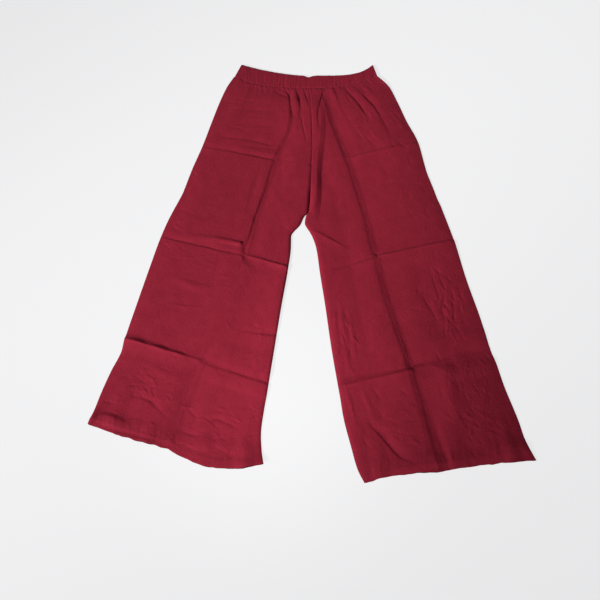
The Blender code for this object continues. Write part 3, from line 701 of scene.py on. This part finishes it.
def back_lift(leg, x, y, across, down):
    """How far a back leg stands off the surface along the packing creases, in metres."""
    total = np.zeros(x.shape)
    for fold in leg.packing:
        heights = BACK_CREASE_LEAST + BACK_CREASE_SHARE * np.abs(fold.heights)
        add_fold(total, Fold(SHARP, BACK_CREASE_WIDTH, BACK_CREASE_WIDTH, heights, fold.path), x, y)
    ripple = np.clip(noise(x / 5, y / 7, leg.seed + 20), 0, 1) * BACK_RIPPLE
    puckers = np.abs(hem_puckers(x, down, leg.seed + 30)) * BACK_PUCKERS
    return ((np.minimum(total, BACK_LIFT) + ripple) * edge_fade(across) + puckers) * MM


def front_body(leg, x, y, across, down):
    """How far a front leg stands above the back leg, in metres."""
    near_x = x + swells(PATH_WANDER, x, y, 11)
    near_y = y + swells(PATH_WANDER, x, y, 12)
    total = np.zeros(x.shape)
    for fold in leg.packing + leg.folds:
        add_fold(total, fold, near_x, near_y)
    for fold in crinkle_folds(leg.crinkles, leg.seed):
        add_fold(total, fold, x, y)
    held = fade(np.maximum(down - SEAM_HOLD_END, 0), CROTCH - SEAM_HOLD_END) * (across > 0)
    power = np.where(across < 0, OUTER_PUFF_POWER, INNER_PUFF_POWER)
    arch = 1 - np.abs(across) ** power * (1 - held)
    settled = 1 - HEM_SETTLING * smooth((down - PUFF_END) / (HEM - PUFF_END))
    total += PUFF / MM * smooth(down / PUFF_START) * arch * settled
    total += sum(swells(kind, x, y, leg.seed) for kind in FRONT_SWELLS) * edge_fade(across)
    total += hem_puckers(x, down, leg.seed)
    total -= SEAM_DIP * fade(1 - across, SEAM_DIP_REACH) * held
    eased = LEAST_RISE * np.exp(np.clip(total / LEAST_RISE - 1, -8, 0))
    return np.where(total > LEAST_RISE, total, eased) * MM


def grid_faces(rows, columns):
    """Corner numbers of each quad of a grid, facing up when rows run down and columns right."""
    first = (np.arange(rows - 1)[:, None] * columns + np.arange(columns - 1)[None, :]).ravel()
    return np.stack((first, first + columns, first + columns + 1, first + 1), 1)


def ring_of(rows, columns):
    """Numbers of the points round a grid's edge, counter-clockwise from above."""
    grid = np.arange(rows * columns).reshape(rows, columns)
    return np.concatenate((grid[:-1, 0], grid[-1, :-1], grid[:0:-1, -1], grid[0, :0:-1]))


def add_object(name, data):
    """Puts a mesh, a light or a camera into the scene."""
    item = bpy.data.objects.new(name, data)
    bpy.context.scene.collection.objects.link(item)
    return item


def add_mesh(name, points, quads, triangles, weave, material):
    """A smooth-shaded object from arrays, with its place on the cloth kept for the weave."""
    mesh = bpy.data.meshes.new(name)
    mesh.from_pydata(points.tolist(), [], quads.tolist() + triangles.tolist())
    layer = mesh.attributes.new("weave_place", "FLOAT_VECTOR", "POINT")
    layer.data.foreach_set("vector", weave.astype(np.float32).ravel())
    mesh.materials.append(material)
    mesh.shade_smooth()
    mesh.validate()
    return add_object(name, mesh)


def bulged_edge(edge, thickness, direction):
    """The points halfway through a sheet's edge, pushed out a little."""
    way = np.roll(edge, -1, 0) - np.roll(edge, 1, 0)
    outward = np.stack((way[:, 1], -way[:, 0]), 1)
    outward /= np.linalg.norm(outward, axis=1)[:, None] + 1e-12
    middle = edge.copy()
    middle[:, :2] += outward * (EDGE_BULGE * thickness)[:, None]
    middle[:, 2] += direction * thickness / 2
    return middle


def shell(name, shown, thickness, weave, upward, material):
    """A closed sheet: its shown side at full detail and its hidden side with every second point."""
    rows, columns = shown.shape[:2]
    direction = -1 if upward else 1
    hidden = shown[::2, ::2].copy()
    hidden[..., 2] += direction * thickness[::2, ::2]
    flat = shown.reshape(-1, 3)
    shown_ring = ring_of(rows, columns)
    middle = bulged_edge(flat[shown_ring], thickness.reshape(-1)[shown_ring], direction)
    middle_ring = rows * columns + np.arange(len(middle))
    hidden_start = rows * columns + len(middle)
    hidden_ring = hidden_start + ring_of(*hidden.shape[:2])
    shown_quads = grid_faces(rows, columns)
    hidden_quads = hidden_start + grid_faces(*hidden.shape[:2])[:, ::-1]
    rim = (shown_ring, middle_ring, np.roll(middle_ring, -1), np.roll(shown_ring, -1))
    quads = np.concatenate((shown_quads, hidden_quads, np.stack(rim, 1)))
    a, b = hidden_ring, np.roll(hidden_ring, -1)
    first, halfway, last = middle_ring[::2], middle_ring[1::2], np.roll(middle_ring[::2], -1)
    corners = ((a, first, halfway), (a, halfway, b), (b, halfway, last))
    triangles = np.concatenate([np.stack(three, 1) for three in corners])
    if not upward:
        quads, triangles = quads[:, ::-1], triangles[:, ::-1]
    points = np.concatenate((flat, middle, hidden.reshape(-1, 3)))
    place = weave.reshape(-1, 3)
    places = np.concatenate((place, place[shown_ring], weave[::2, ::2].reshape(-1, 3)))
    return add_mesh(name, points, quads, triangles, places, material)


# Each leg's width on the cut cloth, and where each part is cut from it, in metres
WEAVE_WIDTHS = {"left": 0.34, "right": 0.35}
WEAVE_SHIFTS = {"left": 0.0, "right": 1.0}
BACK_WEAVE_SHIFT = (0, 0, 0.5)
BAND_WEAVE_SHIFT = 3.0
BAND_WEAVE_STRETCH = 1.8


def weave_places(across, down, leg):
    """Where each point lies on the cut cloth, in metres."""
    x = across * WEAVE_WIDTHS[leg.side] / 2 + WEAVE_SHIFTS[leg.side]
    return np.stack((x, -down * CM, 0 * x), -1)


def make_leg(leg, material):
    """A leg's front and back, and the shown surface of each for its stitches."""
    x, y, across, down = leg_plan(leg)
    lift = back_lift(leg, x, y, across, down)
    weave = weave_places(across, down, leg)
    turned = HEM_EXTRA * hem_share(down)
    back_thick = BACK_SHELL + turned
    under = np.stack((x * CM, y * CM, FLOOR_GAP + lift), -1)
    way = 1 if leg.side == "left" else -1
    half = np.s_[::2, :: 2 * way]
    name = f"back_leg_{leg.side}_cloth"
    place = weave[half] + BACK_WEAVE_SHIFT
    back = shell(name, under[half], back_thick[half], place, False, material)
    front_thick = FRONT_SHELL + turned
    base = FLOOR_GAP + lift + back_thick + LAYER_GAP
    body = front_body(leg, x, y, across, down) * smooth(down / BAND_EASE)
    body += gathers(across, down, leg.seed + 50) * MM
    body += (LEG_TOP_LEVEL - base) * fade(down, LEG_TOP_REACH)
    top = np.stack((x * CM, y * CM, base + body + front_thick), -1)
    name = f"front_leg_{leg.side}_cloth"
    whole = np.s_[:, ::way]
    front = shell(name, top[whole], front_thick[whole], weave[whole], True, material)
    return front, back, top, under


# ---- waistband


def seam_y(x):
    """Where the legs' upper edge lies across the waist, in metres."""
    middle = LEFT_SECTIONS[0].inner_x * CM
    result = np.zeros(x.shape)
    for sections, chosen in ((LEFT_SECTIONS, x < middle), (RIGHT_SECTIONS, x >= middle)):
        row = sections[0]
        crease = row.crease_x * CM
        outer = (x < crease) if sections is LEFT_SECTIONS else (x > crease)
        end_x = np.where(outer, row.outer_x, row.inner_x) * CM
        end_y = np.where(outer, row.outer_y, row.inner_y)
        bow = np.where(outer, row.outer_bow, row.inner_bow)
        share = np.clip(np.abs(x - crease) / np.abs(end_x - crease), 0, 1)
        y = blend(row.crease_y, end_y, share) + 4 * bow * share * (1 - share)
        result = np.where(chosen, y * CM, result)
    return result


def band_top_y(x):
    """The waistband's upper edge: raised at both ends, with a notch at the centre seam."""
    middle = (BAND_LEFT_TOP + BAND_RIGHT_TOP) / 2
    half = (BAND_RIGHT_TOP - BAND_LEFT_TOP) / 2
    side = (x - middle) / half
    power = np.where(side < 0, BAND_LEFT_POWER, BAND_RIGHT_POWER)
    notch = NOTCH_DEPTH * np.exp(-(((x - NOTCH_AT) / NOTCH_WIDTH) ** 2))
    return BAND_TOP_LOW + BAND_TOP_RISE * np.minimum(np.abs(side), 1.0) ** power - notch


def band_ribs(run, height):
    """Fine uneven gathers of the casing over its elastic, in millimetres; run is in centimetres."""
    drift = 0.25 * noise(run / 2, height * 1.5, 60)
    ribs = RIB_HEIGHT * noise(run / RIB_LENGTH + drift, height * 0.8, 61)
    wide = WIDE_RIB_HEIGHT * noise(run / WIDE_RIB_LENGTH + drift, height * 0.6, 62)
    elastic = 1 - (2 * height - 1) ** 6
    puckers = BAND_PUCKER * noise(run / BAND_PUCKER_LENGTH, height * 2, 63)
    by_seam = np.exp(-((height - 0.1) / 0.1) ** 2)
    return (ribs + wide) * (0.35 + 0.65 * elastic) + puckers * by_seam


def band_surface(share, height, level_side, bulge, reach):
    """Points of one wall of the waistband: share runs across and height up, both from 0 to 1."""
    radius = BAND_WALL + BAND_SLOT / 2
    first_x = LEFT_SECTIONS[0].outer_x * CM + radius
    last_x = RIGHT_SECTIONS[0].outer_x * CM - radius
    low_x = blend(first_x, last_x, share) + bulge * reach
    high_x = blend(BAND_LEFT_TOP + radius, BAND_RIGHT_TOP - radius, share) + bulge * reach
    low_y = seam_y(low_x) + BAND_SEAM_GAP
    high_y = band_top_y(high_x)
    x = blend(low_x, high_x, height)
    y = blend(low_y, high_y, height)
    z = radius + level_side * reach
    return x, y, z


def band_ring():
    """Once round the band: share across, bulge at its ends and level, 1 in front and -1 behind."""
    share = np.linspace(0, 1, BAND_COLUMNS // 2 + 1)
    turns = np.pi * np.arange(1, BAND_FOLD_STEPS) / BAND_FOLD_STEPS
    ring = [(s, 0.0, 1.0) for s in share]
    ring += [(1.0, math.sin(t), math.cos(t)) for t in turns]
    ring += [(s, 0.0, -1.0) for s in share[::-1]]
    ring += [(0.0, -math.sin(t), -math.cos(t)) for t in turns]
    return np.array(ring).T


def band_walls():
    """The waistband's outer and inner wall, and how far round the casing each point lies."""
    h = np.linspace(0, 1, BAND_ROWS)[:, None]
    s, bulge, level = (part + 0 * h for part in band_ring())
    h = h + 0 * s
    x, y, z = band_surface(s, h, level, bulge, BAND_WALL + BAND_SLOT / 2)
    run = x / CM + BACK_WALL_SHIFT * (level < 0)
    rib = band_ribs(run, h)
    edge = np.abs(2 * h - 1)
    crown = BAND_CROWN - np.where(h > 0.5, BAND_TOP_FALL * edge**5, BAND_LOW_FALL * edge**8)
    join = np.exp(-(((x / CM - JOIN_AT) / JOIN_WIDTH) ** 2)) * (level > 0)
    z += (rib + crown - JOIN_DEPTH * join) * MM * np.clip(level, 0, 1)
    z -= np.clip(level, -1, 0) * np.clip(BACK_RIB_SHARE * rib, 0, 1) * MM
    y += BAND_SCALLOP * noise(run / SCALLOP_LENGTH, h * 0, 64) * edge**8 * (h > 0.5) * CM
    outer = np.stack((x, y, np.maximum(z, FLOOR_GAP)), -1)
    inner = np.stack(band_surface(s, h, level, bulge, BAND_SLOT / 2), -1)
    return outer, inner, run


def make_waistband(material):
    """The casing gathered over its elastic: a flat ring with an outer and an inner wall."""
    outer, inner, run = band_walls()
    top_edge = (outer[-1] + inner[-1]) / 2 + (0, BAND_EDGE_RISE, 0)
    low_edge = (outer[0] + inner[0]) / 2 - (0, BAND_EDGE_DROP, 0)
    points = np.array([low_edge, *outer, top_edge, *inner[::-1]])
    count, around = points.shape[:2]
    a = np.arange(count * around).reshape(count, around)
    b = np.roll(a, -1, 1)
    quads = np.stack((a, b, np.roll(b, -1, 0), np.roll(a, -1, 0)), -1).reshape(-1, 4)
    weave_x = np.array([run[0], *run, run[-1], *run[::-1]]) * CM * BAND_WEAVE_STRETCH
    weave = np.stack((weave_x + BAND_WEAVE_SHIFT, points[..., 1], 0 * weave_x), -1)
    no_triangles = np.zeros((0, 3), int)
    band = add_mesh(
        "waistband_cloth", points.reshape(-1, 3), quads, no_triangles, weave.reshape(-1, 3), material
    )
    return band, outer


# ---- stitches

STITCH_LENGTH = 2.6 * MM
STITCH_PITCH = 3.2 * MM
STITCH_RADIUS = 0.15 * MM
STITCH_RISE = 0.10 * MM
STITCH_DIP = 0.12 * MM
STITCH_BREADTH = 1.2
STITCH_SIDES = 6

# Places along a stitch and its thickness there, as shares of its length and radius
STITCH_RINGS = ((-0.5, 0.35), (-0.36, 1.0), (0.36, 1.0), (0.5, 0.35))


def stitch_points(start, end, up):
    """The rings of points of one stitch, a short round-ended tube."""
    forward = end - start
    forward /= np.linalg.norm(forward) + 1e-12
    sideways = np.cross(forward, (0, 0, 1.0))
    sideways /= np.linalg.norm(sideways) + 1e-12
    upward = np.cross(sideways, forward)
    points = []
    for place, size in STITCH_RINGS:
        middle = blend(start, end, place + 0.5)
        rise = up * (STITCH_RISE - STITCH_DIP * (2 * abs(place)) ** 4)
        for k in range(STITCH_SIDES):
            turn = 2 * math.pi * k / STITCH_SIDES
            offset = sideways * math.cos(turn) * STITCH_BREADTH + upward * math.sin(turn)
            x, y, z = middle + offset * STITCH_RADIUS * size + (0, 0, rise)
            points.append((x, y, max(z, 0.0)))
    return points


def stitch_row(line, up):
    """Points and faces of a row of stitches along a line."""
    steps = np.linalg.norm(np.diff(line, axis=0), axis=1)
    run = np.concatenate(([0], np.cumsum(steps)))
    points, faces = [], []
    for i in range(int(run[-1] / STITCH_PITCH)):
        start, end = (
            np.array([np.interp((i + 0.5) * STITCH_PITCH + half, run, way) for way in line.T])
            for half in (-STITCH_LENGTH / 2, STITCH_LENGTH / 2)
        )
        first = len(points)
        points += stitch_points(start, end, up)
        rings = [range(k, k + STITCH_SIDES) for k in range(first, len(points), STITCH_SIDES)]
        for ring in rings[:-1]:
            for a, b in zip(ring, [*ring[1:], ring[0]]):
                faces.append((a, b, b + STITCH_SIDES, a + STITCH_SIDES))
        faces += [tuple(rings[0])[::-1], tuple(rings[-1])]
    return points, faces


def make_stitches(name, lines, material, up=1):
    """Rows of stitches joined in one piece."""
    points, faces = [], []
    for line in lines:
        more, more_faces = stitch_row(line, up)
        faces += [tuple(i + len(points) for i in face) for face in more_faces]
        points += more
    mesh = bpy.data.meshes.new(name)
    mesh.from_pydata(points, [], faces)
    mesh.materials.append(material)
    mesh.shade_smooth()
    return add_object(name, mesh)


def hem_stitch_line(surface):
    """The line of the hem's stitching on a leg's shown surface."""
    row = np.argmin(np.abs(leg_rows() - (HEM - HEM_DEPTH + STITCH_DROP)))
    return surface[row, 2:-2]


# ---- materials

CLOTH_COLOR = (0.270, 0.0127, 0.0303, 1.0)
CLOTH_DEEP = (0.215, 0.0090, 0.0239, 1.0)
CLOTH_PALE = (0.310, 0.0190, 0.0393, 1.0)
CLOTH_SHEEN = (0.85, 0.35, 0.42, 1.0)
THREAD_DEEP = (0.20, 0.012, 0.026, 1.0)
THREAD_PALE = (0.34, 0.026, 0.048, 1.0)
THREADS_PER_METRE = 1800
WARP_SLUBS = (900.0, 22.0, 1.0)
WEFT_SLUBS = (22.0, 900.0, 1.0)
MOTTLE_SHARE = 0.55
SLUB_SHARE = 0.225
DYE_UNEVENNESS = 0.45


def feed(tree, socket, value):
    """Links a socket to another node's output, or sets its value."""
    if isinstance(value, bpy.types.NodeSocket):
        tree.links.new(value, socket)
    else:
        socket.default_value = value


def set_inputs(tree, item, **inputs):
    """Sets or links some of a node's inputs, given by name."""
    for name, value in inputs.items():
        feed(tree, item.inputs[name.replace("_", " ")], value)


def node(tree, kind, **inputs):
    """A shader node with some of its inputs set or linked."""
    item = tree.nodes.new(kind)
    set_inputs(tree, item, **inputs)
    return item


def math_node(tree, operation, *values):
    """The result of a sum on numbers or on other nodes' outputs."""
    item = tree.nodes.new("ShaderNodeMath")
    item.operation = operation
    for socket, value in zip(item.inputs, values):
        feed(tree, socket, value)
    return item.outputs[0]


def mix_colors(tree, amount, first, second):
    """A mix of two colours."""
    item = tree.nodes.new("ShaderNodeMix")
    item.data_type = "RGBA"
    for index, value in ((0, amount), (6, first), (7, second)):
        feed(tree, item.inputs[index], value)
    return item.outputs[2]


def surface_material(name, **inputs):
    """A material with some of its shader's inputs set, its node tree and its shader."""
    material = bpy.data.materials.new(name)
    material.use_nodes = True
    tree = material.node_tree
    shader = tree.nodes["Principled BSDF"]
    set_inputs(tree, shader, **inputs)
    return material, tree, shader


def threads(tree, place, scale, seed):
    """Long thin streaks along one direction of the cloth: slubs in its yarn."""
    moved = node(tree, "ShaderNodeMapping", Vector=place, Scale=scale, Location=(seed, seed, 0))
    return node(tree, "ShaderNodeTexNoise", Vector=moved.outputs[0], Scale=1.0, Detail=2.0).outputs[0]


def cloth_dye(tree, spot, slubs):
    """Dark red, mottled and streaked between its deep and pale shades, with broad faint patches."""
    mottle = node(tree, "ShaderNodeTexNoise", Vector=spot, Scale=38.0, Detail=5.0, Roughness=0.62)
    mottled = math_node(tree, "MULTIPLY", mottle.outputs[0], MOTTLE_SHARE)
    shade = math_node(tree, "ADD", mottled, math_node(tree, "MULTIPLY", slubs, SLUB_SHARE))
    amount = node(tree, "ShaderNodeMapRange", Value=shade, From_Min=0.36, From_Max=0.64)
    uneven = mix_colors(tree, amount.outputs[0], CLOTH_DEEP, CLOTH_PALE)
    color = mix_colors(tree, DYE_UNEVENNESS, CLOTH_COLOR, uneven)
    patch = node(tree, "ShaderNodeTexNoise", Vector=spot, Scale=7.0, Detail=3.0).outputs[0]
    soft = node(tree, "ShaderNodeMapRange", Value=patch, From_Min=0.3, From_Max=0.7)
    set_inputs(tree, soft, To_Min=0.97, To_Max=1.03)
    scale = tree.nodes.new("ShaderNodeVectorMath")
    scale.operation = "SCALE"
    set_inputs(tree, scale, Vector=color, Scale=soft.outputs[0])
    return scale.outputs[0]


def cloth_relief(tree, spot, slubs):
    """The fine relief of the weave, then of the slubs, then of the crepe."""
    ways = node(tree, "ShaderNodeSeparateXYZ", Vector=spot).outputs[:2]
    turns = [math_node(tree, "MULTIPLY", way, math.pi * THREADS_PER_METRE) for way in ways]
    weave = math_node(tree, "MULTIPLY", *(math_node(tree, "SINE", turn) for turn in turns))
    crepe = node(tree, "ShaderNodeTexNoise", Vector=spot, Scale=240.0, Detail=3.0, Roughness=0.6)
    layers = ((0.25, 0.12 * MM, weave), (0.5, 0.25 * MM, slubs), (0.55, 1.2 * MM, crepe.outputs[0]))
    under = {}
    for strength, depth, height in layers:
        bump = node(tree, "ShaderNodeBump", Strength=strength, Distance=depth, Height=height, **under)
        under = {"Normal": bump.outputs[0]}
    return under["Normal"]


def cloth_material():
    """Plain-weave rayon: fine yarns, slubs, faint mottling and a soft sheen."""
    material, tree, shader = surface_material(
        "dark_red_rayon", Roughness=0.78, Specular_IOR_Level=0.10,
        Sheen_Weight=0.06, Sheen_Roughness=0.45, Sheen_Tint=CLOTH_SHEEN,
    )
    place = tree.nodes.new("ShaderNodeAttribute")
    place.attribute_name = "weave_place"
    spot = place.outputs["Vector"]
    warp = threads(tree, spot, WARP_SLUBS, 3.0)
    weft = threads(tree, spot, WEFT_SLUBS, 7.0)
    slubs = math_node(tree, "ADD", warp, weft)
    dye = cloth_dye(tree, spot, slubs)
    relief = cloth_relief(tree, spot, slubs)
    set_inputs(tree, shader, Base_Color=dye, Normal=relief)
    return material


def thread_material():
    """Sewing thread a little paler than the cloth, with the twist of its plies."""
    material, tree, shader = surface_material(
        "dark_red_thread", Roughness=0.55, Specular_IOR_Level=0.3, Sheen_Weight=0.1
    )
    spot = tree.nodes.new("ShaderNodeTexCoord").outputs["Object"]
    plies = node(tree, "ShaderNodeTexNoise", Vector=spot, Scale=2500.0, Detail=1.0).outputs[0]
    color = mix_colors(tree, plies, THREAD_DEEP, THREAD_PALE)
    bump = node(tree, "ShaderNodeBump", Strength=0.4, Distance=0.1 * MM, Height=plies)
    set_inputs(tree, shader, Base_Color=color, Normal=bump.outputs[0])
    return material


# ---- stage

FLOOR_SIZE = 30.0
FLOOR_DROP = 0.1 * MM
BACKDROP_SIDES = 48
BACKDROP_HEIGHT = 15.0
FLOOR_ALBEDO = (0.16, 0.16, 0.16, 1.0)
FLOOR_GLOW = (0.755, 0.755, 0.765, 1.0)
BLACK = (0.0, 0.0, 0.0, 1.0)
BACKDROP_GLOW = (0.775, 0.775, 0.785, 1.0)
WHITE = (1.0, 1.0, 1.0, 1.0)
WORLD_STRENGTH = 0.16

# Places in metres, the size across in metres, the power in watts and the spread in degrees
Lamp = namedtuple("Lamp", "name place aim size power spread")
LAMPS = (
    Lamp("key", (-5.2, -3.65, 2.94), (0.04, 0.19, 0.0), 1.0, 8.8, 17.0),
    Lamp("pool", (-0.05, -0.59, 0.9), (-0.078, -0.37, 0.0), 0.25, 0.22, 42.0),
)

CAMERA_AIM = (-0.0189, -0.1345)
CAMERA_DISTANCE = 1.48356
CAMERA_ELEVATION = 65.0
CAMERA_LENS = 42.0
SENSOR_WIDTH = 36.0


def add_stage(name, points, faces, albedo, glow):
    """A matte piece of the surroundings with an even glow of its own."""
    material, _, _ = surface_material(
        f"pale_{name}", Base_Color=albedo, Roughness=0.95, Specular_IOR_Level=0.0,
        Emission_Color=glow, Emission_Strength=1.0,
    )
    mesh = bpy.data.meshes.new(name)
    mesh.from_pydata(points, [], faces)
    mesh.materials.append(material)
    piece = add_object(name, mesh)
    return piece


def make_floor():
    """A plain pale surface that shows only faint shadows."""
    h = FLOOR_SIZE / 2
    corners = [(x, y, -FLOOR_DROP) for x, y in ((-h, -h), (h, -h), (h, h), (-h, h))]
    add_stage("floor", corners, [(0, 1, 2, 3)], FLOOR_ALBEDO, FLOOR_GLOW)


def make_backdrop():
    """A plain pale wall all round, far behind the floor's edge, that lights nothing."""
    turns = [2 * math.pi * k / BACKDROP_SIDES for k in range(BACKDROP_SIDES)]
    reach = FLOOR_SIZE / 2
    points = [(reach * math.cos(t), reach * math.sin(t), -FLOOR_DROP) for t in turns]
    points += [(x, y, BACKDROP_HEIGHT) for x, y, _ in points]
    walls = [
        (k, (k + 1) % BACKDROP_SIDES, BACKDROP_SIDES + (k + 1) % BACKDROP_SIDES, BACKDROP_SIDES + k)
        for k in range(BACKDROP_SIDES)
    ]
    backdrop = add_stage("backdrop", points, walls, BLACK, BACKDROP_GLOW)
    for kind in ("diffuse", "glossy", "transmission", "volume_scatter", "shadow"):
        setattr(backdrop, f"visible_{kind}", False)


def add_lamp(lamp):
    """A round soft light at its place, turned towards its aim."""
    data = bpy.data.lights.new(lamp.name, "AREA")
    data.shape = "DISK"
    data.size = lamp.size
    data.energy = lamp.power
    data.spread = math.radians(lamp.spread)
    light = add_object(lamp.name, data)
    light.location = lamp.place
    x, y, z = (b - a for a, b in zip(lamp.place, lamp.aim))
    pitch = math.atan2(math.hypot(x, y), -z)
    light.rotation_euler = (pitch, 0, math.atan2(y, x) - math.pi / 2)


def make_light():
    """Low light from the left, a small pool of light by the hems and an even faint sky."""
    scene = bpy.context.scene
    scene.world = bpy.data.worlds.new("studio")
    scene.world.use_nodes = True
    tree = scene.world.node_tree
    set_inputs(tree, tree.nodes["Background"], Color=WHITE, Strength=WORLD_STRENGTH)
    for lamp in LAMPS:
        add_lamp(lamp)
    scene.view_settings.view_transform = "Standard"


def make_camera():
    """The view from over the hems, down at the garment."""
    data = bpy.data.cameras.new("camera")
    data.lens = CAMERA_LENS
    data.sensor_width = SENSOR_WIDTH
    camera = add_object("camera", data)
    angle = math.radians(CAMERA_ELEVATION)
    aim_x, aim_y = CAMERA_AIM
    back = CAMERA_DISTANCE * math.cos(angle)
    camera.location = (aim_x, aim_y - back, CAMERA_DISTANCE * math.sin(angle))
    camera.rotation_euler = (math.pi / 2 - angle, 0, 0)
    bpy.context.scene.camera = camera


# ---- the garment

# The rows of stitching on the waistband start and end this many points from its ends
ROW_INSET = 4


def wear(piece, *nodes):
    """Every piece rides on the one body, and the parts of model.glb that it stands for are hidden."""
    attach(piece, "root")
    for name in nodes:
        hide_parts(name)


def add_leg(leg, cloth, thread):
    """A leg's front and back with the stitches of their hems."""
    front, back, top, under = make_leg(leg, cloth)
    wear(front, f"front_leg_{leg.side}")
    wear(back, f"back_leg_{leg.side}")
    front_stitches = make_stitches(f"front_hem_stitches_{leg.side}", [hem_stitch_line(top)], thread)
    back_stitches = make_stitches(f"back_hem_stitches_{leg.side}", [hem_stitch_line(under)], thread, -1)
    wear(front_stitches)
    wear(back_stitches)


def add_waistband(cloth, thread):
    """The waistband with its two rows of stitches."""
    band, outer = make_waistband(cloth)
    wear(band, "waistband")
    span = slice(ROW_INSET, BAND_COLUMNS // 2 + 1 - ROW_INSET)
    stitches = make_stitches("waistband_stitches", [outer[2, span], outer[-3, span]], thread)
    wear(stitches)


def main():
    """The garment, then its stage, light and camera."""
    cloth = cloth_material()
    thread = thread_material()
    for leg in (LEFT, RIGHT):
        add_leg(leg, cloth, thread)
    add_waistband(cloth, thread)
    make_floor()
    make_backdrop()
    make_light()
    make_camera()


main()
